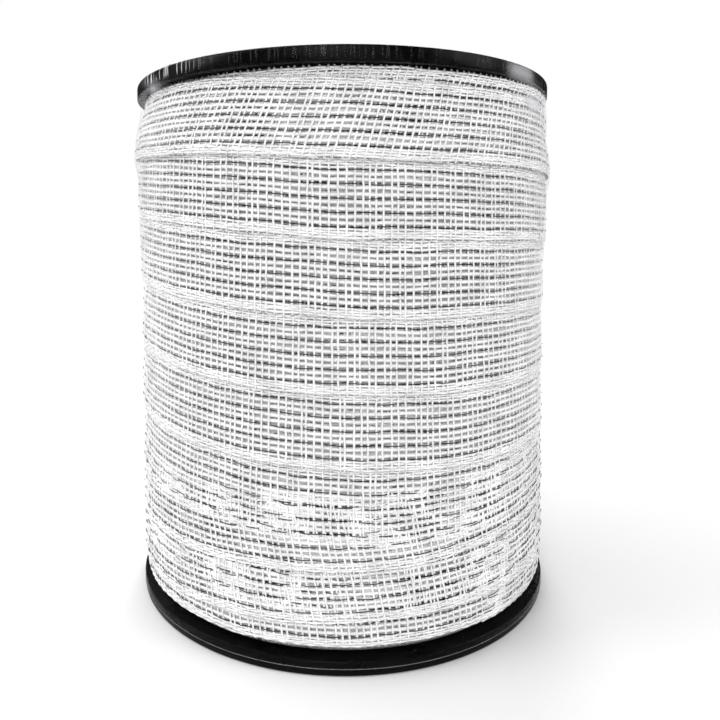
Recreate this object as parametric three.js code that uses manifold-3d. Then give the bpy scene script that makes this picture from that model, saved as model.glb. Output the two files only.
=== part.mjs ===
import * as THREE from 'three';
import { mergeVertices } from 'three/addons/utils/BufferGeometryUtils.js';
import Module from 'manifold-3d';

// A full spool of woven electric fence tape, standing on its lower flange, in clear shrink film.
// Millimetres, +Z up. The origin is the centre of the lower flange's underside, on the bore axis.

// Spool, one moulding: a barrel between two flanges, with a bore right through
const spoolHeight = 159;
const flangeRadius = 67;
const flangeThickness = 4.2;
const boreRadius = 20;
const barrelWall = 2.4;

// Each flange's outer face: a rim and a hub ring that stand proud of a web, joined by radial ribs
const rimWidth = 4;
const hubRingWidth = 6;
const faceRecess = 1.4;
const ribCount = 8;
const ribWidth = 2.2;
const rimEdgeRound = 1;
const innerEdgeRound = 0.6;

// Tape, wound side by side in bands over the whole barrel
const tapeWidth = 20;
const bandPitch = 18.6;
const windingInset = 1;
const bandCrown = 0.5;

// The last band turns back at the top flange: its upper edge lies deep in a neck, and its lower
// edge rides up on the band below, which is itself a little proud
const turnSlack = 1;
const neckDepth = 1.6;
const neckHeight = 4;
const ridgeRise = 1.9;
const shoulderRise = 0.6;
const lowerEdgeDepth = 1.6;

// Shrink film, drawn thicker than the real 0.05 mm
const filmThickness = 0.3;
const filmFootGap = 1.5;
const filmLip = 5;

// Working clearance between pieces that touch on the real object
const clearance = 0.3;

const segments = 72;
const roundSteps = 3;

const barrelRadius = boreRadius + barrelWall;
const windingBottom = flangeThickness + clearance;
const windingTop = spoolHeight - flangeThickness - clearance;
const windingRadius = flangeRadius - windingInset;
const shoulderRadius = windingRadius + shoulderRise;
const ridgeRadius = windingRadius + ridgeRise;
const ridgeZ = windingTop - tapeWidth - turnSlack;
const bandCount = Math.max(1, Math.round((ridgeZ - windingBottom) / bandPitch));
const bandHeight = (ridgeZ - windingBottom) / bandCount;
const shoulderZ = ridgeZ - bandHeight;

// A quarter round from one profile point to the next, bulging away from the point (cr, cz)
function quarterRound(cr, cz, radius, startAngle) {
  const points = [];
  for (let step = 0; step <= roundSteps; step += 1) {
    const angle = startAngle + (step / roundSteps) * (Math.PI / 2);
    points.push([cr + radius * Math.cos(angle), cz + radius * Math.sin(angle)]);
  }
  return points;
}

// A closed outline of [radius, height] points, anticlockwise, turned about the Z axis
function turned(profile) {
  const points = profile.map(([r, z]) => new THREE.Vector2(r, z));
  points.push(points[0].clone());
  const geometry = new THREE.LatheGeometry(points, segments);
  geometry.rotateX(Math.PI / 2);
  return onlyPositions(geometry);
}

// A geometry with shared corners and nothing but positions
function onlyPositions(geometry) {
  geometry.deleteAttribute('normal');
  geometry.deleteAttribute('uv');
  return mergeVertices(geometry, 1e-4);
}

const wasm = await Module();
wasm.setup();

function toSolid(geometry) {
  return new wasm.Manifold(new wasm.Mesh({
    numProp: 3,
    vertProperties: new Float32Array(geometry.attributes.position.array),
    triVerts: new Uint32Array(geometry.index.array),
  }));
}

function toGeometry(solid) {
  const mesh = solid.getMesh();
  const geometry = new THREE.BufferGeometry();
  geometry.setAttribute('position', new THREE.BufferAttribute(mesh.vertProperties, 3));
  geometry.setIndex(new THREE.BufferAttribute(mesh.triVerts, 1));
  geometry.computeVertexNormals();
  return geometry;
}

// The spool's outline: hub ring, web, rim and rounded edge of each flange, with the barrel between
function spoolProfile() {
  const hubRadius = boreRadius + hubRingWidth;
  const rimInner = flangeRadius - rimWidth;
  const outer = flangeRadius - rimEdgeRound;
  const inner = flangeRadius - innerEdgeRound;
  const lowerFace = flangeThickness;
  const upperFace = spoolHeight - flangeThickness;
  return [
    [boreRadius, 0],
    [hubRadius, 0],
    [hubRadius, faceRecess],
    [rimInner, faceRecess],
    [rimInner, 0],
    ...quarterRound(outer, rimEdgeRound, rimEdgeRound, -Math.PI / 2),
    ...quarterRound(inner, lowerFace - innerEdgeRound, innerEdgeRound, 0),
    [barrelRadius, lowerFace],
    [barrelRadius, upperFace],
    ...quarterRound(inner, upperFace + innerEdgeRound, innerEdgeRound, -Math.PI / 2),
    ...quarterRound(outer, spoolHeight - rimEdgeRound, rimEdgeRound, 0),
    [rimInner, spoolHeight],
    [rimInner, spoolHeight - faceRecess],
    [hubRadius, spoolHeight - faceRecess],
    [hubRadius, spoolHeight],
    [boreRadius, spoolHeight],
  ];
}

// One radial rib on a flange's outer face, from inside the hub ring to inside the rim
function ribSolid(index, faceZ) {
  const start = boreRadius + hubRingWidth / 2;
  const end = flangeRadius - rimWidth / 2;
  const towardsMiddle = faceZ === 0 ? 1 : -1;
  const sunk = flangeThickness / 2;
  const rib = new THREE.BoxGeometry(end - start, ribWidth, sunk);
  rib.translate((start + end) / 2, 0, faceZ + towardsMiddle * (sunk / 2));
  rib.rotateZ((index / ribCount) * 2 * Math.PI);
  return toSolid(onlyPositions(rib));
}

function spoolGeometry() {
  let solid = toSolid(turned(spoolProfile()));
  for (const faceZ of [0, spoolHeight]) {
    for (let index = 0; index < ribCount; index += 1) {
      solid = solid.add(ribSolid(index, faceZ));
    }
  }
  return toGeometry(solid);
}

// The wound tape's outside, bottom to top: crowned bands with a shallow groove at each joint,
// then the last band, which rises from its groove to the ridge and falls to the neck
function bandPoints() {
  const points = [[windingRadius - lowerEdgeDepth, windingBottom]];
  for (let band = 0; band < bandCount; band += 1) {
    const low = windingBottom + band * bandHeight;
    const radius = band === bandCount - 1 ? shoulderRadius : windingRadius;
    if (band > 0) {
      points.push([windingRadius - bandCrown, low]);
    }
    points.push([radius, low + bandHeight / 4]);
    points.push([radius, low + (3 * bandHeight) / 4]);
  }
  points.push([shoulderRadius - bandCrown, ridgeZ - turnSlack]);
  points.push([ridgeRadius, ridgeZ]);
  points.push([ridgeRadius - bandCrown, ridgeZ + tapeWidth / 4]);
  points.push([windingRadius - neckDepth, windingTop - neckHeight]);
  points.push([windingRadius - neckDepth, windingTop]);
  return points;
}

function windingGeometry() {
  const bore = barrelRadius + clearance;
  const geometry = turned([[bore, windingBottom], ...bandPoints(), [bore, windingTop]]);
  geometry.computeVertexNormals();
  return geometry;
}

// The film's inner face, bottom to top: the lower rim, the winding, the ridge, the upper rim
// and the lip that is turned in over the top
function filmPath() {
  const overRim = flangeRadius + clearance;
  const overWinding = windingRadius + clearance;
  const overShoulder = shoulderRadius + clearance;
  const overRidge = ridgeRadius + clearance;
  const overTop = spoolHeight + clearance;
  const lowerFace = flangeThickness;
  const upperFace = spoolHeight - flangeThickness;
  return [
    [overRim, filmFootGap],
    [overRim, lowerFace],
    [overWinding, windingBottom + bandHeight / 4],
    [overWinding, shoulderZ - bandHeight / 4],
    [overShoulder, shoulderZ + bandHeight / 4],
    [overRidge, ridgeZ - turnSlack],
    [overRidge, ridgeZ + tapeWidth / 4],
    [overWinding, windingTop - neckHeight],
    [overRim, upperFace],
    ...quarterRound(flangeRadius - rimEdgeRound, spoolHeight - rimEdgeRound,
      rimEdgeRound + clearance, 0),
    [flangeRadius - filmLip, overTop],
  ];
}

// The film's wall: the inner face, then the same face moved out by the film's thickness
function filmGeometry() {
  const inside = filmPath();
  const outside = inside.map(([r, z], index) => {
    const [r0, z0] = inside[Math.max(index - 1, 0)];
    const [r1, z1] = inside[Math.min(index + 1, inside.length - 1)];
    const length = Math.hypot(r1 - r0, z1 - z0);
    const outR = (z1 - z0) / length;
    const outZ = -(r1 - r0) / length;
    return [r + filmThickness * outR, z + filmThickness * outZ];
  });
  const geometry = turned([...outside, ...inside.reverse()]);
  geometry.computeVertexNormals();
  return geometry;
}

const blackPlastic = new THREE.MeshStandardMaterial({ color: 0x0b0b0c, roughness: 0.32, metalness: 0 });
const wovenTape = new THREE.MeshStandardMaterial({ color: 0xe9e9e8, roughness: 0.8, metalness: 0 });
const clearFilm = new THREE.MeshStandardMaterial({
  color: 0xf4f4f8,
  roughness: 0.12,
  metalness: 0,
  transparent: true,
  opacity: 0.2,
});

function piece(name, geometry, material) {
  const mesh = new THREE.Mesh(geometry, material);
  mesh.name = name;
  return mesh;
}

const fenceTape = new THREE.Group();
fenceTape.add(piece('spool', spoolGeometry(), blackPlastic));
fenceTape.add(piece('tape_winding', windingGeometry(), wovenTape));
fenceTape.add(piece('shrink_film', filmGeometry(), clearFilm));

export default fenceTape;
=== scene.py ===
"""A full spool of woven electric fence tape in clear shrink film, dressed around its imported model.

Lengths are metres and +Z is up. An angle is measured round the spool's axis from the front, which
faces -Y, and grows towards the right. A turn is one whole angle: turn 1.25 of a run of tape lies
where turn 0.25 does, one layout of tape further on.
"""

import logging
import math
from dataclasses import dataclass, field
from enum import Enum, IntEnum

import bpy
import numpy as np
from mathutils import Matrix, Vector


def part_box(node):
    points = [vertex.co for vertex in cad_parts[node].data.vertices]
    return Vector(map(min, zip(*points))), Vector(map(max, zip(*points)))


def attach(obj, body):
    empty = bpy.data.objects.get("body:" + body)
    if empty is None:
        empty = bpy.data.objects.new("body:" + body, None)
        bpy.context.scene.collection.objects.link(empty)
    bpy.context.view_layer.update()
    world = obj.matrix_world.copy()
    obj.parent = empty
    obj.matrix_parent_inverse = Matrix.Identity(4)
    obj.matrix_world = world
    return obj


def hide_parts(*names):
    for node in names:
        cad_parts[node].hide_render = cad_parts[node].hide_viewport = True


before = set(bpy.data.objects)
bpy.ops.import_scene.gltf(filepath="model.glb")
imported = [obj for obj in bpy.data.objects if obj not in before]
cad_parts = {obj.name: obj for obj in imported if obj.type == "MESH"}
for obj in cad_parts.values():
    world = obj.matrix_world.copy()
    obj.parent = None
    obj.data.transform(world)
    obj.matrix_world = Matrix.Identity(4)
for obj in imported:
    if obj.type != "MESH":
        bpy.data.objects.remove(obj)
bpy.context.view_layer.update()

MM = 0.001
FULL_TURN = 2 * math.pi
ROUNDING = 1e-6
IMAGE_SIZE = 720
SENSOR_WIDTH = 36.0

log = logging.getLogger("fence_tape")


class Slot(Enum):
    """The record's material slots."""

    PLASTIC = "black_plastic"
    TAPE = "woven_tape"
    FILM = "clear_film"


# Shape helpers


def around(angle: np.ndarray, radius: np.ndarray, height: np.ndarray) -> np.ndarray:
    """Points round the axis: x = radius sin(angle), y = -radius cos(angle), z = height.

    Args:
        angle: Angles from the front, in radians.
        radius: Distances from the axis.
        height: Heights above the floor.

    Returns:
        The points, with the three coordinates on the last axis.
    """
    angle, radius, height = np.broadcast_arrays(angle, radius, height)
    return np.stack([radius * np.sin(angle), -radius * np.cos(angle), height], axis=-1)


def grid_quads(rows: int, columns: int, close_rows: bool = False, close_columns: bool = False) -> np.ndarray:
    """Quads that join each point of a grid to the next column and the next row.

    Args:
        rows: Number of rows of points.
        columns: Number of points in a row.
        close_rows: Whether the last row joins the first.
        close_columns: Whether the last column joins the first.

    Returns:
        An array of quads, four point numbers each.
    """
    row = np.arange(rows if close_rows else rows - 1)
    column = np.arange(columns if close_columns else columns - 1)
    i, j = np.meshgrid(row, column, indexing="ij")
    i_next, j_next = (i + 1) % rows, (j + 1) % columns
    corners = [i * columns + j, i * columns + j_next, i_next * columns + j_next, i_next * columns + j]
    return np.stack(corners, axis=-1).reshape(-1, 4)


def wander(turn: np.ndarray, seed: int, waves: int = 7, slowest: float = 1.0) -> np.ndarray:
    """A smooth random line between about -1 and 1: a sum of sines whose rates grow by half each time.

    Args:
        turn: Where to read it, in turns.
        seed: Seed of the random phases.
        waves: Number of sines.
        slowest: Cycles in a turn of the slowest sine.

    Returns:
        The line's value at each place.
    """
    random = np.random.default_rng(seed)
    phases = random.uniform(0, FULL_TURN, waves)
    rates = slowest * 1.5 ** np.arange(waves)
    total = sum(np.sin(FULL_TURN * rate * turn + phase) for rate, phase in zip(rates, phases))
    return total / math.sqrt(waves)


def ease(value: np.ndarray, low: float, high: float) -> np.ndarray:
    """A smooth step: 0 at low and under it, 1 at high and over it."""
    t = np.clip((value - low) / (high - low), 0, 1)
    return t * t * (3 - 2 * t)


@dataclass
class Surface:
    """Points and quads of one mesh, with a finish number for each quad and values for each point."""

    points: np.ndarray
    quads: np.ndarray
    finish: int = 0
    values: dict[str, np.ndarray] = field(default_factory=dict)

    def flipped(self) -> "Surface":
        """The same surface with its faces turned round."""
        return Surface(self.points, self.quads[:, ::-1], self.finish, self.values)


def lathe(profile: np.ndarray, steps: int, finish: int = 0) -> Surface:
    """A closed outline turned about the axis.

    Args:
        profile: Radius and height of each outline point, anticlockwise with the radius to the right.
        steps: Number of angles.
        finish: Finish number of its quads.

    Returns:
        The closed surface, facing out.
    """
    angle = np.linspace(0, FULL_TURN, steps, endpoint=False)[:, None]
    points = around(angle, profile[None, :, 0], profile[None, :, 1])
    quads = grid_quads(steps, len(profile), close_rows=True, close_columns=True)
    return Surface(points.reshape(-1, 3), quads[:, ::-1], finish)


def thread_tubes(centre: np.ndarray, outward: np.ndarray, half_width: float | np.ndarray,
                 half_depth: float, finish: int = 0) -> Surface:
    """Threads with a section of four corners: centre + width across - depth out, and so on round.

    Args:
        centre: Points along each thread, as threads x steps x 3.
        outward: The unit direction away from the axis at each point.
        half_width: Half the section's width, across the thread within the cloth.
        half_depth: Half the section's depth, away from the axis.
        finish: Finish number of the quads.

    Returns:
        All the threads as one closed surface, with both ends of each closed.
    """
    threads, steps, _ = centre.shape
    along = np.gradient(centre, axis=1)
    across = np.cross(outward, along)
    across /= np.linalg.norm(across, axis=-1, keepdims=True)
    wide, deep = across * half_width, outward * half_depth
    section = np.stack([centre + wide, centre + deep, centre - wide, centre - deep], axis=2)
    sides = grid_quads(steps, 4, close_columns=True)
    last = 4 * (steps - 1)
    ends = np.array([[3, 2, 1, 0], [last, last + 1, last + 2, last + 3]])
    one = np.concatenate([sides, ends])
    starts = (np.arange(threads) * steps * 4)[:, None, None]
    return Surface(section.reshape(-1, 3), (one[None] + starts).reshape(-1, 4), finish)


def make_piece(name: str, surfaces: list[Surface], materials: list[bpy.types.Material],
               smooth: bool = True) -> bpy.types.Object:
    """One object from several surfaces, at the origin.

    Args:
        name: The object's name.
        surfaces: Its surfaces, in order.
        materials: Its finishes, which the surfaces' finish numbers choose from.
        smooth: Whether its faces are shaded smooth.

    Returns:
        The object, linked to the scene.
    """
    counts = [len(surface.points) for surface in surfaces]
    offsets = np.concatenate([[0], np.cumsum(counts)[:-1]])
    points = np.concatenate([surface.points for surface in surfaces])
    quads = np.concatenate([surface.quads + start for surface, start in zip(surfaces, offsets)])
    finishes = np.concatenate([np.full(len(surface.quads), surface.finish) for surface in surfaces])
    mesh = bpy.data.meshes.new(name)
    mesh.vertices.add(len(points))
    mesh.vertices.foreach_set("co", points.astype(np.float32).ravel())
    mesh.loops.add(quads.size)
    mesh.loops.foreach_set("vertex_index", quads.astype(np.int32).ravel())
    mesh.polygons.add(len(quads))
    mesh.polygons.foreach_set("loop_start", np.arange(0, quads.size, 4, dtype=np.int32))
    mesh.polygons.foreach_set("material_index", finishes.astype(np.int32))
    for material in materials:
        mesh.materials.append(material)
    mesh.update(calc_edges=True)
    mesh.polygons.foreach_set("use_smooth", np.full(len(quads), smooth))
    for key in sorted({key for surface in surfaces for key in surface.values}):
        layer = mesh.attributes.new(key, "FLOAT", "POINT")
        parts = [surface.values.get(key, np.zeros(len(surface.points))) for surface in surfaces]
        layer.data.foreach_set("value", np.concatenate(parts).astype(np.float32))
    mesh.validate()
    piece = bpy.data.objects.new(name, mesh)
    bpy.context.scene.collection.objects.link(piece)
    return piece


def settle(piece: bpy.types.Object, slot: Slot, *nodes: str) -> None:
    """Put a piece on the part's one body and hide the nodes that it stands for.

    Args:
        piece: The piece.
        slot: The record's slot that it takes its finish from; not used.
        nodes: The nodes that it replaces.
    """
    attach(piece, "root")
    if nodes:
        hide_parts(*nodes)
    triangles = 2 * len(piece.data.polygons)
    log.info("%s: %d triangles", piece.name, triangles)


# Finish helpers


def colour(code: str, alpha: float = 1.0) -> tuple[float, float, float, float]:
    """A linear colour from an sRGB hex value.

    Args:
        code: Six hex digits.
        alpha: The colour's alpha.

    Returns:
        Red, green, blue and alpha, from 0 to 1.
    """
    channels = [int(code[place:place + 2], 16) / 255 for place in (0, 2, 4)]
    linear = [c / 12.92 if c <= 0.04045 else ((c + 0.055) / 1.055) ** 2.4 for c in channels]
    return (*linear, alpha)


def set_stops(ramp: bpy.types.ColorRamp, stops: list[tuple[float, tuple]]) -> None:
    """Give a colour ramp its stops.

    Args:
        ramp: The ramp, which has two stops to start with.
        stops: Places from 0 to 1 with their linear colours, two or more.
    """
    while len(ramp.elements) < len(stops):
        ramp.elements.new(0.5)
    for element, (place, shade) in zip(ramp.elements, stops):
        element.position = place
        element.color = shade


def set_inputs(tree: bpy.types.NodeTree, node: bpy.types.Node, **sockets: object) -> None:
    """Link or set inputs of a node.

    Args:
        tree: The node tree.
        node: The node.
        sockets: Inputs by name, with underscores for spaces; in_1 means the input of that number.
            An output socket is linked, a node by its first output, and any other value is set.
    """
    for key, value in sockets.items():
        target = node.inputs[int(key[3:]) if key.startswith("in_") else key.replace("_", " ")]
        if isinstance(value, bpy.types.Node):
            value = value.outputs[0]
        if isinstance(value, bpy.types.NodeSocket):
            tree.links.new(value, target)
        else:
            target.default_value = value


def add_node(tree: bpy.types.NodeTree, kind: str, settings: dict | None = None,
             **sockets: object) -> bpy.types.Node:
    """Add a shader node, set it and link its inputs.

    Args:
        tree: The node tree.
        kind: The node's type name without "ShaderNode".
        settings: Properties of the node itself; "stops" are those of a colour ramp.
        sockets: Its inputs, as for set_inputs.

    Returns:
        The node.
    """
    node = tree.nodes.new("ShaderNode" + kind)
    for key, value in (settings or {}).items():
        if key == "stops":
            set_stops(node.color_ramp, value)
        else:
            setattr(node, key, value)
    set_inputs(tree, node, **sockets)
    return node


def new_finish(name: str) -> tuple[bpy.types.Material, bpy.types.NodeTree, bpy.types.Node]:
    """An empty material with its shader.

    Args:
        name: The material's name.

    Returns:
        The material, its tree and its Principled shader.
    """
    material = bpy.data.materials.new(name)
    material.use_nodes = True
    return material, material.node_tree, material.node_tree.nodes["Principled BSDF"]


@dataclass(frozen=True)
class MouldedPolypropylene:
    """Black polypropylene, injection moulded: glossy, with faint flow marks and fine scuffs."""

    # Nearly black, so that the rims read as two dark lines against the white tape. The flow marks
    # change the gloss in soft patches, and the grain keeps highlights from looking like glass.

    shade: str = "050506"
    scuffed_shade: str = "0c0c0d"
    roughness: float = 0.26
    scuffed_roughness: float = 0.42
    specular: float = 0.06
    flow_size: float = 14 * MM
    grain_size: float = 0.8 * MM

    def material(self) -> bpy.types.Material:
        """Make the material.

        Returns:
            The material.
        """
        made, tree, shader = new_finish("moulded_black_polypropylene")
        place = add_node(tree, "TexCoord").outputs["Object"]
        flow = add_node(tree, "TexNoise", Vector=place, Scale=1 / self.flow_size, Detail=4.0)
        grain = add_node(tree, "TexNoise", Vector=place, Scale=1 / self.grain_size, Detail=3.0)
        stops = [(0.45, colour(self.shade)), (0.72, colour(self.scuffed_shade))]
        scuffs = add_node(tree, "ValToRGB", {"stops": stops}, Fac=flow)
        rough = add_node(tree, "MapRange", Value=flow,
                         From_Min=0.4, From_Max=0.7, To_Min=self.roughness, To_Max=self.scuffed_roughness)
        bump = add_node(tree, "Bump", Height=grain, Strength=0.08, Distance=0.1 * MM)
        set_inputs(tree, shader, Base_Color=scuffs, Roughness=rough, Normal=bump, IOR=1.49,
                   Specular_IOR_Level=self.specular)
        return made


@dataclass(frozen=True)
class PolyethyleneThread:
    """White polyethylene monofilament, drawn and woven: bright, slightly glossy, uneven in white."""

    # The patches of duller white break up the bands, and the drawn grain roughens each strand's edge.

    shade: str = "fdfdfc"
    dull_shade: str = "eaeaea"
    roughness: float = 0.38
    patch_size: float = 6 * MM
    drawn_size: float = 0.35 * MM

    def material(self) -> bpy.types.Material:
        """Make the material.

        Returns:
            The material.
        """
        made, tree, shader = new_finish("woven_white_polyethylene")
        place = add_node(tree, "TexCoord").outputs["Object"]
        patch = add_node(tree, "TexNoise", Vector=place, Scale=1 / self.patch_size, Detail=5.0)
        stops = [(0.35, colour(self.dull_shade)), (0.62, colour(self.shade))]
        white = add_node(tree, "ValToRGB", {"stops": stops}, Fac=patch)
        drawn = add_node(tree, "TexNoise", Vector=place, Scale=1 / self.drawn_size, Detail=2.0)
        bump = add_node(tree, "Bump", Height=drawn, Strength=0.6, Distance=0.1 * MM)
        set_inputs(tree, shader, Base_Color=white, Roughness=self.roughness, Normal=bump, IOR=1.5)
        return made


@dataclass(frozen=True)
class DrawnSteelWire:
    """Fine stainless wire, drawn and left dull: dark grey, with small lengths painted lighter as glints."""

    # The dark lines along the bands. Where the noise is high a short length is painted a lighter grey, a
    # painted glint.

    shade: str = "2c2c2e"
    painted_glint_shade: str = "5c5d60"
    roughness: float = 0.36
    painted_glint_size: float = 2.2 * MM

    def material(self) -> bpy.types.Material:
        """Make the material.

        Returns:
            The material.
        """
        made, tree, shader = new_finish("drawn_stainless_wire")
        place = add_node(tree, "TexCoord").outputs["Object"]
        painted_glint = add_node(tree, "TexNoise", Vector=place, Scale=1 / self.painted_glint_size, Detail=3.0)
        # Painted highlight: the lighter end of this ramp paints glints along the wire.
        stops = [(0.5, colour(self.shade)), (0.75, colour(self.painted_glint_shade))]
        steel_with_painted_glints = add_node(tree, "ValToRGB", {"stops": stops}, Fac=painted_glint)
        set_inputs(tree, shader, Base_Color=steel_with_painted_glints, Metallic=1.0, Roughness=self.roughness)
        return made


@dataclass(frozen=True)
class LowerLayers:
    """The turns under the outer ones, seen through the weave: white strands, painted shade in the gaps, dark
    wires.

    The strands and the wires lie round the axis, so the pattern is long round it and fine along it.
    """

    # What shows through the open weave: dark dashes of painted shade where a gap lies over a gap, grey
    # where a strand of the turn below fills it, and now and then a wire of that turn.

    lit_shade: str = "dedede"
    painted_gap_shade: str = "1c1c1f"
    wire_shade: str = "3a3a3c"
    strand_gap: float = 0.875 * MM
    wire_gap: float = 3.5 * MM
    wire_width: float = 0.45 * MM
    weft_gap: float = 1.95 * MM
    strand_share: float = 0.3
    weft_share: float = 0.13
    stray: float = 8.8 * MM
    weft_stray: float = 11.7 * MM
    stray_length: float = 45 * MM
    whitening: float = 0.9

    def lines(self, tree: bpy.types.NodeTree, along: bpy.types.Node, gap: float, half_width: float
              ) -> bpy.types.Node:
        """Evenly spaced soft lines: 1 in the middle of a line, 0 past its half width.

        Args:
            tree: The node tree.
            along: The node of the distance across the lines.
            gap: Distance from line to line.
            half_width: Half the width of a line.

        Returns:
            The node of the lines' strength.
        """
        off = add_node(tree, "Math", {"operation": "PINGPONG"}, in_0=along, in_1=gap / 2)
        return add_node(tree, "MapRange", Value=off, From_Min=half_width * 0.6,
                        From_Max=half_width * 1.4, To_Min=1.0, To_Max=0.0)

    def material(self) -> bpy.types.Material:
        """Make the material.

        Returns:
            The material.
        """
        made, tree, shader = new_finish("lower_layers_of_woven_tape")
        place = add_node(tree, "UVMap", {"uv_map": "wound"}).outputs["UV"]
        parts = add_node(tree, "SeparateXYZ", Vector=place)
        slow = add_node(tree, "Mapping", Vector=place,
                        Scale=(1 / self.stray_length, 4 / self.stray_length, 1.0))
        drift = add_node(tree, "TexNoise", Vector=slow, Scale=1.0, Detail=3.0)
        height = add_node(tree, "Math", {"operation": "MULTIPLY_ADD"},
                          in_0=drift, in_1=self.stray, in_2=parts.outputs["Y"])
        strands = self.lines(tree, height, self.strand_gap, self.strand_gap * self.strand_share)
        wires = self.lines(tree, height, self.wire_gap, self.wire_width / 2)
        round_axis = add_node(tree, "Math", {"operation": "MULTIPLY_ADD"},
                              in_0=drift, in_1=self.weft_stray, in_2=parts.outputs["X"])
        wefts = self.lines(tree, round_axis, self.weft_gap, self.weft_gap * self.weft_share)
        cells = add_node(tree, "Mapping", Vector=place,
                         Scale=(1 / (3 * self.weft_gap), 1 / self.strand_gap, 1.0))
        patch = add_node(tree, "TexNoise", Vector=cells, Scale=1.0, Detail=1.0)
        white = add_node(tree, "Math", {"operation": "MAXIMUM"}, in_0=strands, in_1=wefts)
        uneven = add_node(tree, "MapRange", Value=patch,
                          From_Min=0.3, From_Max=0.7, To_Min=0.0, To_Max=1.0)
        whiter = add_node(tree, "Math", {"operation": "MULTIPLY_ADD", "use_clamp": True},
                          in_0=uneven, in_1=self.whitening, in_2=white)
        # The dark end of this ramp is painted shade: the shadow deep in the gaps between the turns' threads.
        stops = [(0.1, colour(self.painted_gap_shade)), (0.85, colour(self.lit_shade))]
        strands_and_painted_gaps = add_node(tree, "ValToRGB", {"stops": stops}, Fac=whiter)
        shown = add_node(tree, "MapRange", Value=patch,
                         From_Min=0.42, From_Max=0.56, To_Min=0.0, To_Max=1.0)
        bare = add_node(tree, "Math", {"operation": "SUBTRACT", "use_clamp": True},
                        in_0=wires, in_1=wefts)
        dark = add_node(tree, "Math", {"operation": "MULTIPLY"},
                        in_0=bare, in_1=shown)
        mixed = add_node(tree, "Mix", {"data_type": "RGBA"},
                         in_0=dark, in_6=strands_and_painted_gaps, in_7=colour(self.wire_shade))
        bump = add_node(tree, "Bump", Height=white, Strength=0.5, Distance=0.25 * MM)
        set_inputs(tree, shader, Base_Color=mixed.outputs[2], Roughness=0.5, Normal=bump)
        return made


@dataclass(frozen=True)
class ShrinkFilm:
    """Clear polyolefin film, heat shrunk: it shows by a faint cloudiness, by a painted reflection near its
    outline and by painted highlights where it is pleated.
    """

    # Hardly seen from the front. Near the outline a white veil, a painted reflection, fades the weave into
    # white, and on the rim the creases are painted highlights: thin bright lines on black.

    shade: str = "fafaff"
    clear_alpha: float = 0.006
    # Strength of the painted reflection near the outline.
    edge_alpha: float = 0.22
    painted_reflection_rise: float = 12.2
    roughness: float = 0.12
    ripple_size: float = 7 * MM
    crease_gap: float = 1.7 * MM
    crease_length: float = 30 * MM
    # Whiteness of a crease: a painted highlight on the film's real pleats.
    crease_highlight_alpha: float = 0.95
    crease_width: float = 0.07
    rim_radius: float = 67 * MM

    def material(self) -> bpy.types.Material:
        """The material, with alpha = (clear + edge * painted reflection) * sheet + painted highlights +
        creases * pleated.

        The painted reflection is painted_reflection_rise * facing^4 * (1 - facing), 1 at its highest near
        the outline:
        a white veil for the film mirroring the white surroundings. Sheet, painted highlights and pleated are
        drawn on the film's points. Creases lie where a noise, long up the film and fine round it, passes its
        middle value.

        Returns:
            The material.
        """
        made, tree, shader = new_finish("clear_shrink_film")
        place = add_node(tree, "TexCoord").outputs["Object"]
        ripple = add_node(tree, "TexNoise", Vector=place, Scale=1 / self.ripple_size,
                          Detail=3.0, Distortion=0.6)
        bump = add_node(tree, "Bump", Height=ripple, Strength=0.15, Distance=0.6 * MM)
        # Painted reflection: the film grows whiter and less clear towards its outline, as if mirroring the
        # white surroundings.
        facing = add_node(tree, "LayerWeight", Blend=0.5).outputs["Facing"]
        grazing = add_node(tree, "Math", {"operation": "POWER"}, in_0=facing, in_1=4.0)
        turned = add_node(tree, "Math", {"operation": "SUBTRACT"}, in_0=1.0, in_1=facing)
        painted_grazing_reflection = add_node(tree, "Math", {"operation": "MULTIPLY"},
                        in_0=grazing, in_1=turned)
        clear_and_painted_reflection = add_node(tree, "Math", {"operation": "MULTIPLY_ADD"},
                         in_0=painted_grazing_reflection, in_1=self.painted_reflection_rise * self.edge_alpha, in_2=self.clear_alpha)
        sheet, milky, pleated = (add_node(tree, "Attribute", {"attribute_name": name}).outputs["Fac"]
                                 for name in ("sheet", "milky", "pleated"))
        parts = add_node(tree, "SeparateXYZ", Vector=place)
        ahead = add_node(tree, "Math", {"operation": "MULTIPLY"}, in_0=parts.outputs["Y"], in_1=-1.0)
        angle = add_node(tree, "Math", {"operation": "ARCTAN2"},
                         in_0=parts.outputs["X"], in_1=ahead)
        round_rim = add_node(tree, "Math", {"operation": "MULTIPLY"},
                             in_0=angle, in_1=self.rim_radius / self.crease_gap)
        up_rim = add_node(tree, "Math", {"operation": "MULTIPLY"},
                          in_0=parts.outputs["Z"], in_1=1 / self.crease_length)
        grain = add_node(tree, "CombineXYZ", X=round_rim, Y=up_rim)
        folds = add_node(tree, "TexNoise", Vector=grain, Scale=1.0, Detail=0.0)
        off = add_node(tree, "Math", {"operation": "SUBTRACT"}, in_0=folds, in_1=0.5)
        near = add_node(tree, "Math", {"operation": "ABSOLUTE"}, in_0=off)
        # Painted highlight along each crease, where the pleated film would catch the light.
        crease_highlight = add_node(tree, "MapRange", Value=near,
                          From_Min=0.0, From_Max=self.crease_width, To_Min=self.crease_highlight_alpha, To_Max=0.0)
        all_painted_highlights = add_node(tree, "Math", {"operation": "MULTIPLY_ADD"},
                           in_0=crease_highlight, in_1=pleated, in_2=milky)
        alpha = add_node(tree, "Math", {"operation": "MULTIPLY_ADD", "use_clamp": True},
                         in_0=clear_and_painted_reflection, in_1=sheet, in_2=all_painted_highlights)
        set_inputs(tree, shader, Base_Color=colour(self.shade), Roughness=self.roughness, IOR=1.49,
                   Alpha=alpha, Normal=bump)
        return made


@dataclass(frozen=True)
class Finishes:
    """Every material of the object, made once."""

    plastic: bpy.types.Material
    thread: bpy.types.Material
    wire: bpy.types.Material
    lower: bpy.types.Material
    film: bpy.types.Material


# The spool


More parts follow.
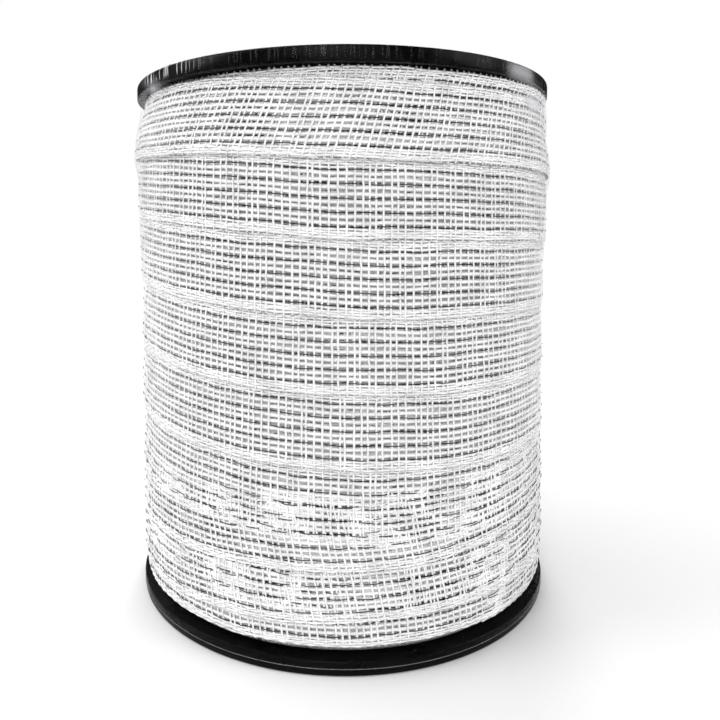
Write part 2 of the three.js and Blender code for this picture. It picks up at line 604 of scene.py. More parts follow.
@dataclass
class Spool:
    """The moulded spool: a barrel between two ribbed flanges, with a bore right through."""

    radius: float
    height: float
    flange: float = 4.2 * MM
    bore: float = 20 * MM
    barrel_wall: float = 2.4 * MM
    rim_width: float = 4 * MM
    hub_width: float = 6 * MM
    recess: float = 1.4 * MM
    rib_count: int = 8
    rib_width: float = 2.2 * MM
    rib_steps: int = 6
    edge_round: float = 1.0 * MM
    inner_round: float = 0.6 * MM
    small_round: float = 0.35 * MM
    steps: int = 288

    def rounded(self, corners: list[tuple[float, float, float]], arc_steps: int = 5) -> np.ndarray:
        """An outline whose corners are rounded by a curve through the corner's two tangent points.

        Each round is a quadratic curve: (1-t)^2 start + 2t(1-t) corner + t^2 end.

        Args:
            corners: Radius, height and rounding of each corner, in order round the outline.
            arc_steps: Points on each round.

        Returns:
            Radius and height of each outline point.
        """
        points = np.array([(r, z) for r, z, _ in corners])
        before, after = np.roll(points, 1, axis=0) - points, np.roll(points, -1, axis=0) - points
        before /= np.linalg.norm(before, axis=1, keepdims=True)
        after /= np.linalg.norm(after, axis=1, keepdims=True)
        size = np.array([rounding for _, _, rounding in corners])[:, None]
        start, end = (points + before * size)[:, None], (points + after * size)[:, None]
        t = np.linspace(0, 1, arc_steps)[None, :, None]
        curve = (1 - t) ** 2 * start + 2 * t * (1 - t) * points[:, None] + t ** 2 * end
        return curve.reshape(-1, 2)

    def body(self) -> Surface:
        """The turned body: bore, hub rings, webs, rims and barrel.

        Returns:
            The closed body.
        """
        hub, rim, small = self.bore + self.hub_width, self.radius - self.rim_width, self.small_round
        barrel = self.bore + self.barrel_wall
        lower = [
            (self.bore, 0, small), (hub, 0, small), (hub, self.recess, small), (rim, self.recess, small),
            (rim, 0, small), (self.radius, 0, self.edge_round),
            (self.radius, self.flange, self.inner_round), (barrel, self.flange, self.edge_round),
        ]
        upper = [(r, self.height - z, rounding) for r, z, rounding in reversed(lower)]
        return lathe(self.rounded(lower + upper), self.steps)

    def rib(self, angle: float, flip: bool) -> Surface:
        """One radial rib: its section is a bar with sloped sides, carried from the hub ring to the rim.

        Args:
            angle: The rib's angle round the axis.
            flip: Whether it is on the upper flange.

        Returns:
            The closed rib, which ends inside the hub ring and the rim.
        """
        start, end = self.bore + self.hub_width / 2, self.radius - self.rim_width / 2
        foot, top, half = self.recess * 1.3, 0.12 * MM, self.rib_width / 2
        section = [(half, foot), (half * 0.86, top + self.small_round), (half * 0.7, top),
                   (-half * 0.7, top), (-half * 0.86, top + self.small_round), (-half, foot)]
        side = np.array([offset for offset, _ in section])[None, :]
        depth = np.array([height for _, height in section])[None, :]
        reach = np.linspace(start, end, self.rib_steps)[:, None]
        height = self.height - depth if flip else depth
        x = reach * math.sin(angle) + side * math.cos(angle)
        y = -reach * math.cos(angle) + side * math.sin(angle)
        points = np.stack(np.broadcast_arrays(x, y, height), axis=-1)
        count = len(section)
        quads = grid_quads(self.rib_steps, count, close_columns=True)
        last = (self.rib_steps - 1) * count
        caps = np.array([[0, 1, 2, 5], [2, 3, 4, 5], [5, 2, 1, 0], [5, 4, 3, 2]])
        caps[2:] += last
        made = Surface(points.reshape(-1, 3), np.concatenate([quads, caps]))
        return made if flip else made.flipped()

    def build(self, finishes: Finishes) -> None:
        """Make the spool.

        Args:
            finishes: The object's materials.
        """
        surfaces = [self.body()]
        for index in range(self.rib_count):
            angle = math.pi / 2 + index / self.rib_count * FULL_TURN
            surfaces += [self.rib(angle, flip=False), self.rib(angle, flip=True)]
        settle(make_piece("moulded_spool", surfaces, [finishes.plastic]), Slot.PLASTIC, "spool")


# The tape


class TapeFinish(IntEnum):
    """Place of a finish in the list of a stretch of tape."""

    THREAD = 0
    WIRE = 1


@dataclass(frozen=True)
class LongStrands:
    """Strands along the tape that are woven alike, over and under the wefts in a pattern of signs.

    A strand lies at lift + wave * sign from the middle of the cloth, and the next one's pattern
    starts stagger wefts further on.
    """

    places: np.ndarray
    half_width: float
    wave: float
    lift: float = 0.0
    pattern: tuple[float, ...] = (1.0, -1.0)
    stagger: int = 1
    finish: TapeFinish = TapeFinish.THREAD


@dataclass(frozen=True)
class Weave:
    """The tape's weave: its width, its strands along and across, and its wires."""

    width: float = 19.8 * MM
    weft_gap: float = 1.95 * MM
    wire_count: int = 5
    wire_gap: float = 3.5 * MM
    strand_shares: tuple[float, ...] = (0.275, 0.725)
    selvedge_strands: int = 4
    strand_half_width: float = 0.54 * MM
    selvedge_half_width: float = 0.33 * MM
    weft_half_width: float = 0.30 * MM
    wire_half_width: float = 0.125 * MM
    half_depth: float = 0.12 * MM
    loop: float = 0.32 * MM
    weft_lift: float = 0.12 * MM
    weft_wave: float = 0.05 * MM
    weft_stray: float = 0.09 * MM
    strand_wave: float = 0.07 * MM
    selvedge_wave: float = 0.13 * MM
    wire_lift: float = 0.06 * MM
    wire_wave: float = 0.24 * MM
    weft_slip: float = 0.22
    strand_stray: float = 0.14 * MM
    selvedge_room: float = 0.35 * MM

    def wires(self) -> np.ndarray:
        """Places of the wires across the tape, from 0 at its lower edge to 1 at its upper edge."""
        offsets = (np.arange(self.wire_count) - (self.wire_count - 1) / 2) * self.wire_gap
        return 0.5 + offsets / self.width

    def strands(self) -> np.ndarray:
        """Places of the white strands between the wires."""
        wires = self.wires()
        return (wires[:-1, None] + np.array(self.strand_shares) * (wires[1] - wires[0])).ravel()

    def selvedges(self) -> np.ndarray:
        """Places of the close strands along both edges.

        Returns:
            The places, from the lowest strand to the highest.
        """
        room = self.wires()[0] - self.selvedge_room / self.width
        lower = (np.arange(self.selvedge_strands) + 0.5) / self.selvedge_strands * room
        return np.concatenate([lower, 1 - lower[::-1]])

    def long_strands(self) -> list[LongStrands]:
        """Everything that runs along the tape.

        Returns:
            The strands between the wires, the selvedges and the wires, which are woven two and two.
        """
        return [
            LongStrands(self.strands(), self.strand_half_width, self.strand_wave),
            LongStrands(self.selvedges(), self.selvedge_half_width, self.selvedge_wave),
            LongStrands(self.wires(), self.wire_half_width, self.wire_wave, self.wire_lift,
                        (1.0, 1.0, -1.0, -1.0), 3, TapeFinish.WIRE),
        ]


class Layout(Enum):
    """Which way a run of tape travels as it goes round to the right."""

    DOWN = -1
    UP = 1


class Draw(Enum):
    """What is added to a run's seed for each thing that wanders."""

    EDGE = 0
    SLIP = 7
    STRAY = 9
    CLOTH = 50


@dataclass(frozen=True)
class TapeRun:
    """A run of tape on the outside of the winding, turn beside turn.

    Its lower edge leaves a flange along a soft bend: edge = start + way * pitch * bend * ln(1 + e^t),
    with t = (turn - bend_turn) / bend. Past the bend it moves by one pitch a turn, less closing *
    turn^2. At both sides of the spool it lies a little higher, by sway * sin(angle)^2.
    """

    name: str
    layout: Layout
    start_edge: float
    pitch: float
    bend_turn: float
    bend: float
    first_turn: float
    last_turn: float
    seed: int
    leans: tuple[float, float]
    lean_turns: tuple[float, float]
    closing: float = 0.0
    sway: float = 0.0
    sway_turns: tuple[float, float] = (0.3, 1.2)
    sway_share: float = 0.5
    top_limit: float = 154.3 * MM
    edge_stray: float = 0.2 * MM

    def lower_edge(self, turn: np.ndarray) -> np.ndarray:
        """Height of the tape's lower edge.

        Args:
            turn: Turns along the run.

        Returns:
            The heights.
        """
        t = (turn - self.bend_turn) / self.bend
        travel = self.pitch * self.bend * np.logaddexp(0, t) - self.closing * np.maximum(turn, 0) ** 2
        share = self.sway_share + (1 - self.sway_share) * ease(turn, *self.sway_turns)
        sway = self.sway * share * np.sin(turn * FULL_TURN) ** 2
        stray = self.edge_stray * wander(turn, self.seed + Draw.EDGE.value, 5, 2.3)
        return self.start_edge + self.layout.value * travel + sway + stray

    def height(self, turn: np.ndarray, place: np.ndarray, width: float) -> np.ndarray:
        """Height of a place across the tape, which gathers where the upper flange leaves it less room.

        Args:
            turn: Turns along the run.
            place: Places across it, from 0 to 1.
            width: The tape's width.

        Returns:
            The heights.
        """
        edge = self.lower_edge(turn)
        return edge + place * np.minimum(width, self.top_limit - edge)

    def lean(self, turn: np.ndarray) -> np.ndarray:
        """Sideways lean of the wefts, as a share of their height: they trail the turn-back at a flange."""
        start, end = self.leans
        return start + (end - start) * ease(turn, *self.lean_turns)


@dataclass(frozen=True)
class Stretch:
    """A stretch of a run, from turn to turn, which becomes one piece."""

    run: TapeRun
    first: float
    last: float


@dataclass(frozen=True)
class WindingShape:
    """The outside of the full winding, as radii at heights and across the band at the top flange."""

    heights: tuple[float, ...] = (4.6, 6.2, 7.8, 14, 100, 120, 131, 150, 154.5)
    radii: tuple[float, ...] = (63.4, 64.8, 65.6, 65.95, 65.95, 66.5, 66.7, 66.5, 66.0)
    band_places: tuple[float, ...] = (0.0, 0.12, 0.4, 0.75, 0.9, 1.0)
    band_radii: tuple[float, ...] = (67.7, 67.6, 66.9, 65.3, 64.5, 64.3)
    band_fades: tuple[float, float] = (0.42, 0.62)
    early_depth: float = 0.55 * MM
    flare: float = 1.0 * MM
    filled_radius: float = 66.3 * MM
    lap: float = 0.42 * MM
    crown: float = 0.15 * MM
    filled_span: tuple[float, float] = (0.3, 0.95)
    cloth_stray: float = 0.12 * MM
    upward_rise: float = 0.25 * MM
    upward_tuck: float = 0.3 * MM
    rise_turns: tuple[float, float] = (0.2, 1.0)
    tuck_turns: tuple[float, float] = (-0.2, 0.4)
    flare_places: tuple[float, float] = (1.0, 1.3)
    early_turns: tuple[float, float] = (-0.5, -0.38)

    @property
    def girth(self) -> float:
        """Length of one turn half way up the winding."""
        return FULL_TURN * float(np.interp(60, self.heights, self.radii)) * MM

    def body(self, height: np.ndarray) -> np.ndarray:
        """Radius of the winding at a height, under the outer turns' laps."""
        return np.interp(height / MM, self.heights, self.radii) * MM

    def neck(self, place: np.ndarray, rightness: np.ndarray) -> np.ndarray:
        """Radius across the band at the flange, which is filled out on the right.

        Args:
            place: Places across the band, from 0 to 1.
            rightness: The sine of the angle, which is 1 on the right.

        Returns:
            The radius.
        """
        band = np.interp(place, self.band_places, self.band_radii) * MM
        filled = np.maximum(band, self.filled_radius)
        return band + (filled - band) * ease(rightness, *self.filled_span)

    def outer_band(self, run: TapeRun, turn: np.ndarray, place: np.ndarray, plain: np.ndarray) -> np.ndarray:
        """Radius of the outermost turn, which narrows in a neck under the flange and fades into plain.

        Args:
            run: The run of tape.
            turn: Turns along it.
            place: Places across it, from 0 to 1.
            plain: The winding's radius without a neck.

        Returns:
            The radius. On the right the neck is less deep.
        """
        band = self.neck(place, np.sin(turn * FULL_TURN))
        share = 1 - ease(turn, *self.band_fades)
        return plain * (1 - share) + band * share

    def radius(self, run: TapeRun, turn: np.ndarray, place: np.ndarray, weave: Weave) -> np.ndarray:
        """Radius of a run's cloth: the body, the lap over the turn below, and the band at the flange.

        The turn before the band lies under it, and flares out again where it shows above it.

        Args:
            run: The run of tape.
            turn: Turns along it.
            place: Places across it, from 0 to 1.
            weave: The tape's weave.

        Returns:
            The radius of the middle of the cloth.
        """
        height = run.height(turn, place, weave.width)
        bulge = self.crown * (1 - (2 * place - 1) ** 2)
        plain = self.body(height) + self.lap * (1 - 2 * place) + bulge
        plain = plain + self.cloth_stray * wander(turn, run.seed + Draw.CLOTH.value, 6, 3.1)
        if run.layout is Layout.UP:
            rise = self.upward_rise * ease(turn, *self.rise_turns)
            return plain + rise - self.upward_tuck * (1 - ease(turn, *self.tuck_turns))
        band = self.outer_band(run, turn, place, plain)
        over_place = (height - run.lower_edge(turn + 1)) / weave.width
        over = self.outer_band(run, turn + 1, np.clip(over_place, 0, 1), self.body(height))
        early = over - self.early_depth + self.flare * ease(over_place, *self.flare_places)
        share = 1 - ease(turn, *self.early_turns)
        return band * (1 - share) + early * share


@dataclass
class TapeWinding:
    """The wound tape: its outer turns as woven strands and wires, over a body of lower turns."""

    shape: WindingShape
    weave: Weave
    runs: list[TapeRun]
    body_depth: float = 0.65 * MM
    body_steps: int = 240
    weft_steps: int = 12
    body_bore: float = 24 * MM
    neck_heights: tuple[float, ...] = (133, 148, 154.5)
    neck_depths: tuple[float, ...] = (0, 1.6, 2.0)

    def place(self, run: TapeRun, turn: np.ndarray, across: np.ndarray, lift: np.ndarray
              ) -> tuple[np.ndarray, np.ndarray]:
        """Points on a run's cloth and their outward directions.

        Args:
            run: The run of tape.
            turn: Turns along it.
            across: Places across it, from 0 at the lower edge to 1 at the upper one.
            lift: Distance of the strands' middle from the middle of the cloth.

        Returns:
            The points, and unit vectors away from the axis.
        """
        radius = self.shape.radius(run, turn, across, self.weave) + lift
        height = run.height(turn, across, self.weave.width)
        points = around(turn * FULL_TURN, radius, height)
        outward = around(turn * FULL_TURN, np.ones_like(radius), np.zeros_like(radius))
        return points, outward

    def weft_turns(self, part: Stretch) -> np.ndarray:
        """Where the wefts cross a stretch, evenly spaced with a little slip.

        Args:
            part: The stretch of tape.

        Returns:
            The wefts' turns.
        """
        per_turn = round(self.shape.girth / self.weave.weft_gap)
        numbers = np.arange(math.ceil(part.first * per_turn), math.ceil(part.last * per_turn))
        slip = self.weave.weft_slip * wander(numbers / per_turn, part.run.seed + Draw.SLIP.value, 8, 11.0)
        return (numbers + 0.5 + slip) / per_turn

    def long_strands(self, part: Stretch, kind: LongStrands) -> Surface:
        """Strands along a stretch, each with a slow drift of its own.

        Args:
            part: The stretch of tape.
            kind: The strands.

        Returns:
            The strands as closed threads.
        """
        turn = np.concatenate([[part.first], self.weft_turns(part), [part.last]])
        number = np.arange(len(kind.places))[:, None]
        step = np.arange(len(turn))[None, :]
        sign = np.array(kind.pattern)[(step + number * kind.stagger) % len(kind.pattern)]
        drift = self.weave.strand_stray / self.weave.width * np.stack(
            [wander(turn, part.run.seed * 31 + index, 6, 5.0) for index in range(len(kind.places))])
        across = kind.places[:, None] + drift
        turn = np.broadcast_to(turn, across.shape)
        leaned = turn + self.lean_turn(part.run, turn, across)
        leaned[:, 0], leaned[:, -1] = part.first, part.last
        centre, outward = self.place(part.run, leaned, across, kind.wave * sign + kind.lift)
        return thread_tubes(centre, outward, kind.half_width, self.weave.half_depth, kind.finish)

    def lean_turn(self, run: TapeRun, turn: np.ndarray, across: np.ndarray) -> np.ndarray:
        """How far a weft's lean carries a point of it, in turns."""
        sideways = run.lean(turn) * (across - 0.5) * self.weave.width
        return sideways / self.shape.girth

    def wefts(self, part: Stretch) -> Surface:
        """Strands across a stretch, which end in small loops past the tape's edges.

        Args:
            part: The stretch of tape.

        Returns:
            The wefts as closed threads.
        """
        weave, steps = self.weave, self.weft_steps
        margin = weave.loop / weave.width
        across = np.linspace(-margin, 1 + margin, steps)[None, :]
        turn, across = np.broadcast_arrays(self.weft_turns(part)[:, None], across)
        number = np.arange(turn.shape[0])[:, None]
        sign = np.where((number + np.arange(steps)[None, :]) % 2, 1.0, -1.0)
        ends = np.minimum(1, np.minimum(across + margin, 1 + margin - across) / (2 * margin))
        lift = (weave.weft_lift + weave.weft_wave * sign) * ends
        stray = weave.weft_stray * wander(across * 2 + number * 0.618, part.run.seed + Draw.STRAY.value, 4)
        sideways = self.lean_turn(part.run, turn, across) + stray / self.shape.girth
        centre, outward = self.place(part.run, turn + sideways, across, lift)
        return thread_tubes(centre, outward, weave.weft_half_width, weave.half_depth)

    def lower_turns(self) -> Surface:
        """The body under the outer turns: the winding's profile, set in, turned about the axis.

        Returns:
            The closed body.
        """
        outer_z = np.linspace(self.shape.heights[0], self.shape.heights[-1], 90) * MM
        neck = np.interp(outer_z / MM, self.neck_heights, self.neck_depths) * MM
        outer_r = self.shape.body(outer_z) - self.body_depth - neck
        bore = self.body_bore
        profile = np.concatenate([
            [[bore, outer_z[0]]], np.stack([outer_r, outer_z], axis=1), [[bore, outer_z[-1]]]])
        return lathe(profile, self.body_steps)

    def build(self, finishes: Finishes) -> None:
        """Make the lower turns and every stretch of outer tape.

        Args:
            finishes: The object's materials.
        """
        body = make_piece("lower_turns", [self.lower_turns()], [finishes.lower])
        self.map_round(body)
        settle(body, Slot.TAPE, "tape_winding")
        for run in self.runs:
            bounds = [run.first_turn]
            while bounds[-1] < run.last_turn - ROUNDING:
                following = math.floor(bounds[-1] + 0.5 + ROUNDING) + 0.5
                bounds.append(min(following, run.last_turn))
            for number, (first, last) in enumerate(zip(bounds[:-1], bounds[1:]), start=1):
                part = Stretch(run, first, last)
                surfaces = [self.wefts(part)]
                surfaces += [self.long_strands(part, kind) for kind in self.weave.long_strands()]
                piece = make_piece(f"{run.name}_turn_{number}", surfaces, [finishes.thread, finishes.wire])
                settle(piece, Slot.TAPE)

    def map_round(self, piece: bpy.types.Object) -> None:
        """Give a piece a UV map of the distance round the axis and the height, in metres.

        Args:
            piece: A turned piece.
        """
        mesh = piece.data
        points = np.empty(len(mesh.vertices) * 3, dtype=np.float32)
        mesh.vertices.foreach_get("co", points)
        points = points.reshape(-1, 3)
        corner = np.empty(len(mesh.loops), dtype=np.int32)
        mesh.loops.foreach_get("vertex_index", corner)
        angle = np.arctan2(points[:, 0], -points[:, 1])[corner].reshape(-1, 4)
        wrapped = angle + FULL_TURN * (angle < angle.max(axis=1, keepdims=True) - math.pi)
        distance = wrapped.ravel() * self.shape.girth / FULL_TURN
        layer = mesh.uv_layers.new(name="wound")
        wound = np.stack([distance, points[corner, 2]], axis=1)
        layer.data.foreach_set("uv", wound.astype(np.float32).ravel())


# The film


@dataclass(frozen=True)
class Pleats:
    """Narrow ridges at random angles about a centre: share * the sum of e^-((angle - ridge) / width)^2."""

    count: int
    centre: float
    spread: float
    share: float
    seed: int
    width: float = 0.012

    def at(self, angle: np.ndarray) -> np.ndarray:
        """Height of the ridges.

        Args:
            angle: Angles round the axis.

        Returns:
            The height at each angle.
        """
        random = np.random.default_rng(self.seed)
        places = random.normal(self.centre, self.spread, self.count)
        heights = random.uniform(0.4, 1.0, self.count)
        off = (angle[:, None] - places[None, :] + math.pi) % FULL_TURN - math.pi
        ridges = heights * np.exp(-(off / (self.width * (0.6 + heights))) ** 2)
        return self.share * ridges.sum(axis=1)


@dataclass(frozen=True)
class PaintedGlare:
    """A painted reflection: a white patch where the film would mirror a lamp, e^-(off / size)^power, round
    the axis and up it.
    """

    angle: float
    spread: float
    height: float
    reach: float
    strength: float
    power: int = 2

    def at(self, angle: np.ndarray, height: np.ndarray) -> np.ndarray:
        """Whiteness of the patch.

        Args:
            angle: Angles round the axis.
            height: Heights, as angles x heights.

        Returns:
            The whiteness at each of the heights.
        """
        sideways = np.exp(-((angle - self.angle) / self.spread) ** self.power)
        up = np.exp(-((height - self.height) / self.reach) ** self.power)
        return self.strength * sideways[:, None] * up


@dataclass
class FilmSleeve:
    """The shrink film: a thin sleeve over both rims and the winding, turned in over the top rim."""

    shape: WindingShape
    weave: Weave
    band: TapeRun
    spool: Spool
    thickness: float = 0.09 * MM
    foot: float = 2.2 * MM
    lip: float = 4.6 * MM
    cling: float = 0.5 * MM
    rim_gap: float = 0.08 * MM
    steps: int = 720
    taut_heights: tuple[float, ...] = (0, 4.4, 12, 100, 120, 128, 133, 150, 155.2, 200)
    taut_shares: tuple[float, ...] = (0, 0, 1, 1, 1, 1, 1, 1, 0, 0)
    hug_start: float = 0.12
    least_hug: float = 0.6
    hug_span: tuple[float, float] = (-0.3, 0.7)
    ridge_span: tuple[float, float] = (-0.35, 0.02)
    band_turns: tuple[float, float] = (0.36, 0.5)
    top_heights: tuple[float, float] = (151.5 * MM, 155.0 * MM)
    fold_height: float = 0.16 * MM
    lip_fold_height: float = 0.12 * MM
    fold_heights: tuple[float, float] = (147 * MM, 155 * MM)
    lip_heights: tuple[float, float] = (158 * MM, 159 * MM)
    crease_angle: float = -0.82
    crease_spread: float = 0.18
    stray_creases: float = 0.03
    crease_heights: tuple[float, float] = (155.2 * MM, 156.6 * MM)
    # Painted highlight: a thin white line along the film's lower edge, where it wraps the rim's lower
    # corner.
    painted_foot_highlight: float = 0.4
    edge_width: float = 0.1 * MM
    rim_haze: float = 0.02
    haze_start: tuple[float, float] = (9 * MM, 22 * MM)
    haze_end: tuple[float, float] = (148 * MM, 155 * MM)
    pleats: tuple[Pleats, ...] = (Pleats(46, -1.15, 0.33, 1.0, 61), Pleats(50, 0.0, 2.2, 0.35, 62))
    # Painted reflections: white patches where the film would mirror the lamps.
    painted_glares: tuple[PaintedGlare, ...] = (
        PaintedGlare(-0.92, 0.06, 154 * MM, 1.8 * MM, 0.32),
        PaintedGlare(0.95, 0.11, 150 * MM, 4 * MM, 0.28),
        PaintedGlare(0.83, 0.10, 156.8 * MM, 1.9 * MM, 0.4, power=4),
    )

    def side(self, angle: np.ndarray, height: np.ndarray) -> np.ndarray:
        """Radius of the film's inner face: taut from rim to winding, out over the ridge, in at the neck.

        Args:
            angle: Angles round the axis.
            height: Heights above the floor.

        Returns:
            The radius at each angle and height.
        """
        rim = self.spool.radius + self.rim_gap
        cloth = self.shape.body(height) + self.cling
        share = np.interp(height, np.array(self.taut_heights) * MM, self.taut_shares)
        plain = rim * (1 - share) + cloth * share
        turn = angle / FULL_TURN
        place = np.clip((height - self.band.lower_edge(turn)) / self.weave.width, -1, 2)
        band = self.shape.neck(place, np.sin(angle)) + self.cling
        hug = self.least_hug + (1 - self.least_hug) * ease(-np.sin(angle), *self.hug_span)
        band = np.where(place > self.hug_start, band * hug + np.maximum(band, rim) * (1 - hug), band)
        under = ease(place, *self.ridge_span)
        near_top = 1 - ease(height, *self.top_heights)
        mix = under * near_top * (1 - ease(np.abs(turn), *self.band_turns))
        return plain * (1 - mix) + band * mix

    def inner_face(self, angle: np.ndarray) -> tuple[np.ndarray, np.ndarray]:
        """The film's inner face before its folds: up the side, over the rim and in over the top.

        Args:
            angle: Angles round the axis.

        Returns:
            Radii and heights, as angles x points.
        """
        spool = self.spool
        low = self.foot + np.array([0, 0.15, 0.3, 0.6, 1.5, 3, 5, 7, 9.8]) * MM
        middle = np.linspace(12 * MM, 126 * MM, 16)[1:]
        high = np.linspace(126 * MM, spool.height - spool.edge_round, 24)[1:]
        height = np.concatenate([low, middle, high])
        bend = np.linspace(0, math.pi / 2, 5)[1:]
        over = spool.edge_round + self.rim_gap
        bend_r = spool.radius - spool.edge_round + over * np.cos(bend)
        bend_z = spool.height - spool.edge_round + over * np.sin(bend)
        lip_r = np.linspace(bend_r[-1], spool.radius - self.lip, 7)[1:]
        top_r = np.concatenate([bend_r, lip_r])
        top_z = np.concatenate([bend_z, np.full(len(lip_r), bend_z[-1])])
        side_r = self.side(angle[:, None], height[None, :])
        radii = np.concatenate([side_r, np.tile(top_r, (len(angle), 1))], axis=1)
        return radii, np.tile(np.concatenate([height, top_z]), (len(angle), 1))

    def looks(self, angle: np.ndarray, height: np.ndarray) -> dict[str, np.ndarray]:
        """What the finish reads at the film's points.

        Args:
            angle: Angles round the axis.
            height: Heights, as angles x points.

        Returns:
            Values by attribute: how much the sheet shows its cloudiness and painted reflection, its painted
                highlights, and how creased it is.
        """
        gathered = np.exp(-((angle - self.crease_angle) / self.crease_spread) ** 4) + self.stray_creases
        # Painted highlight line along the film's lower edge.
        edge = self.painted_foot_highlight * np.exp(-((height - self.foot) / self.edge_width) ** 2)
        over_tape = ease(height, *self.haze_start) * (1 - ease(height, *self.haze_end))
        return {
            "sheet": self.rim_haze + (1 - self.rim_haze) * over_tape,
            "milky": edge + sum(painted_glare.at(angle, height) for painted_glare in self.painted_glares),
            "pleated": gathered[:, None] * ease(height, *self.crease_heights),
        }

    def build(self, finishes: Finishes) -> None:
        """Make the film as a closed thin sleeve.

        Args:
            finishes: The object's materials.
        """
        angle = np.linspace(-math.pi, math.pi, self.steps, endpoint=False)
        radius, height = self.inner_face(angle)
        inward = np.clip((self.spool.radius - radius) / self.lip, 0, 1) * ease(height, *self.lip_heights)
        folds = sum(pleats.at(angle) for pleats in self.pleats)[:, None]
        reach = ease(height, *self.fold_heights)
        radius = radius + self.fold_height * folds * reach * (1 - inward)
        height = height + self.lip_fold_height * folds * inward
        inner = around(angle[:, None], radius, height)
        outer = around(angle[:, None], radius + self.thickness * (1 - inward),
                       height + self.thickness * inward)
        section = np.concatenate([outer, inner[:, ::-1]], axis=1)
        quads = grid_quads(self.steps, section.shape[1], close_rows=True, close_columns=True)
        values = {key: np.concatenate([value, 0 * value], axis=1).ravel()
                  for key, value in self.looks(angle, height).items()}
        sleeve = Surface(section.reshape(-1, 3), quads[:, ::-1], 0, values)
        settle(make_piece("film_sleeve", [sleeve], [finishes.film]), Slot.FILM, "shrink_film")


# The studio


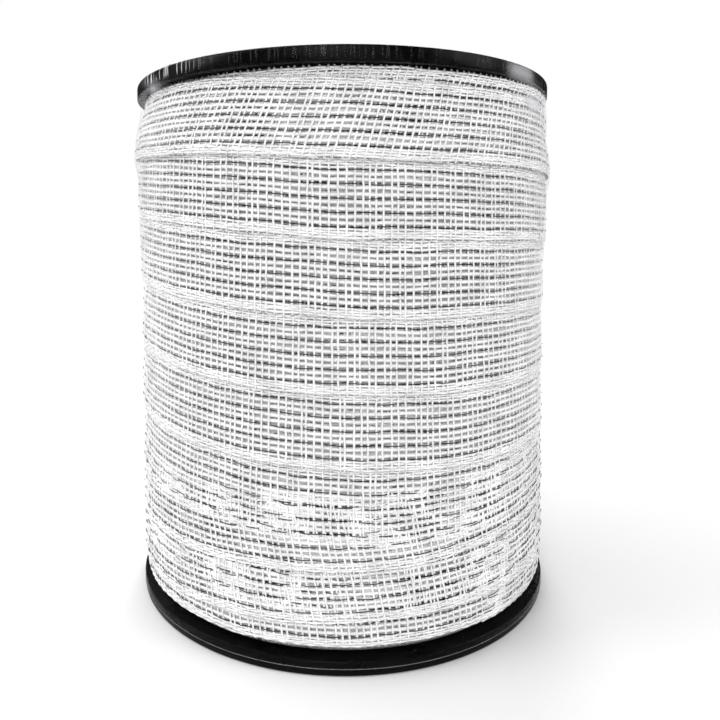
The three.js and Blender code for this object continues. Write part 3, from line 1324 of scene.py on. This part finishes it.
@dataclass
class Studio:
    """Camera, pale floor, white surroundings and soft lamps."""

    focal_pixels: float = 672.5
    distance: float = 232.5 * MM
    height: float = 112.6 * MM
    pitch: float = 0.0523
    turn_left: float = 0.017
    roll: float = 0.003
    centre_column: float = 330.0
    centre_row: float = 270.0
    floor_half: float = 3.0
    floor_shade: str = "f7f7f7"
    horizon_light: float = 0.05
    ceiling_light: float = 2.35
    ceiling_lean: tuple[float, float, float] = (-0.45, 0.1, 1.0)
    lamp_width: float = 0.5
    lamps: tuple[tuple[str, float, float, float], ...] = (
        ("left", -80, 26, 0.9),
        ("front", -8, 29, 1.42),
        ("right", 72, 24, 1.15),
        ("back", 175, 28, 1.2),
    )

    def camera(self) -> None:
        """A camera in front of the object, turned and shifted as the photograph is framed."""
        data = bpy.data.cameras.new("camera")
        data.sensor_width = SENSOR_WIDTH
        data.lens = self.focal_pixels / IMAGE_SIZE * SENSOR_WIDTH
        data.shift_x = (IMAGE_SIZE / 2 - self.centre_column) / IMAGE_SIZE
        data.shift_y = (self.centre_row - IMAGE_SIZE / 2) / IMAGE_SIZE
        data.clip_start = 0.01
        made = bpy.data.objects.new("camera", data)
        made.location = (0, -self.distance, self.height)
        made.rotation_euler = (math.pi / 2 - self.pitch, self.roll, self.turn_left)
        bpy.context.scene.collection.objects.link(made)
        bpy.context.scene.camera = made

    def floor(self) -> None:
        """A wide pale floor, as a level square."""
        side = np.array([-self.floor_half, self.floor_half])
        x, y = np.meshgrid(side, side)
        points = np.stack([x, y, np.zeros_like(x)], axis=-1).reshape(-1, 3)
        made, tree, shader = new_finish("matt_pale_floor")
        set_inputs(tree, shader, Base_Color=colour(self.floor_shade), Roughness=0.7)
        make_piece("floor", [Surface(points, grid_quads(2, 2))], [made])

    def surroundings(self) -> None:
        """A white background, and a soft light overhead that leans to one side.

        The light from a direction is horizon + ceiling * c^6, with c the cosine of its angle from the
        middle of the light.
        """
        world = bpy.data.worlds.new("white_studio")
        world.use_nodes = True
        tree = world.node_tree
        direction = add_node(tree, "TexCoord").outputs["Generated"]
        middle = np.array(self.ceiling_lean) / np.linalg.norm(self.ceiling_lean)
        near = add_node(tree, "VectorMath", {"operation": "DOT_PRODUCT"},
                        in_0=direction, in_1=tuple(middle))
        above = add_node(tree, "Math", {"operation": "MAXIMUM"}, in_0=near.outputs["Value"], in_1=0.0)
        steep = add_node(tree, "Math", {"operation": "POWER"}, in_0=above, in_1=6.0)
        light = add_node(tree, "Math", {"operation": "MULTIPLY_ADD"},
                         in_0=steep, in_1=self.ceiling_light, in_2=self.horizon_light)
        seen = add_node(tree, "LightPath").outputs["Is Camera Ray"]
        strength = add_node(tree, "Mix", {"data_type": "FLOAT"},
                            in_0=seen, in_2=light, in_3=1.0)
        set_inputs(tree, tree.nodes["Background"], Color=(1, 1, 1, 1), Strength=strength)
        bpy.context.scene.world = world

    def lamp(self, name: str, side: float, height: float, power: float) -> None:
        """A wide soft lamp, far away, that lights everything from one direction.

        Args:
            name: The lamp's name.
            side: Its angle round the axis from the front, towards the right.
            height: Its angle above the floor.
            power: Its light on a surface that faces it, in watts a square metre.
        """
        data = bpy.data.lights.new(name, "SUN")
        data.energy = power
        data.angle = self.lamp_width
        made = bpy.data.objects.new(name, data)
        made.rotation_euler = (math.pi / 2 - height, 0, side)
        bpy.context.scene.collection.objects.link(made)

    def build(self) -> None:
        """Set the camera, the floor, the surroundings and the lamps."""
        self.camera()
        self.floor()
        self.surroundings()
        for name, side, height, power in self.lamps:
            self.lamp(name, math.radians(side), math.radians(height), power)
        bpy.context.scene.view_settings.view_transform = "Standard"


def main() -> None:
    """Build the studio, the spool, the tape and the film."""
    logging.basicConfig(level=logging.INFO, format="%(name)s: %(message)s")
    Studio().build()
    finishes = Finishes(
        plastic=MouldedPolypropylene().material(),
        thread=PolyethyleneThread().material(),
        wire=DrawnSteelWire().material(),
        lower=LowerLayers().material(),
        film=ShrinkFilm().material(),
    )
    _, spool_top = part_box("spool")
    spool = Spool(radius=spool_top[0], height=spool_top[2])
    spool.build(finishes)
    shape = WindingShape()
    weave = Weave()
    downward = TapeRun("downward_run", Layout.DOWN, start_edge=134.5 * MM, pitch=20.2 * MM,
                       bend_turn=-0.123, bend=0.1, first_turn=-1.45, last_turn=6.3, seed=11,
                       leans=(0.30, 0.0), lean_turns=(0.2, 0.85), closing=0.12 * MM,
                       sway=3.2 * MM, sway_share=1.0)
    upward = TapeRun("upward_run", Layout.UP, start_edge=6.4 * MM, pitch=14.7 * MM,
                     bend_turn=0.6, bend=0.35, first_turn=-0.9, last_turn=2.38, seed=23,
                     leans=(-0.10, -0.20), lean_turns=(0.3, 1.2),
                     sway=3.0 * MM, sway_turns=(0.3, 2.0), sway_share=0.0)
    TapeWinding(shape, weave, [downward, upward]).build(finishes)
    FilmSleeve(shape, weave, downward, spool).build(finishes)


if __name__ == "__main__":
    main()
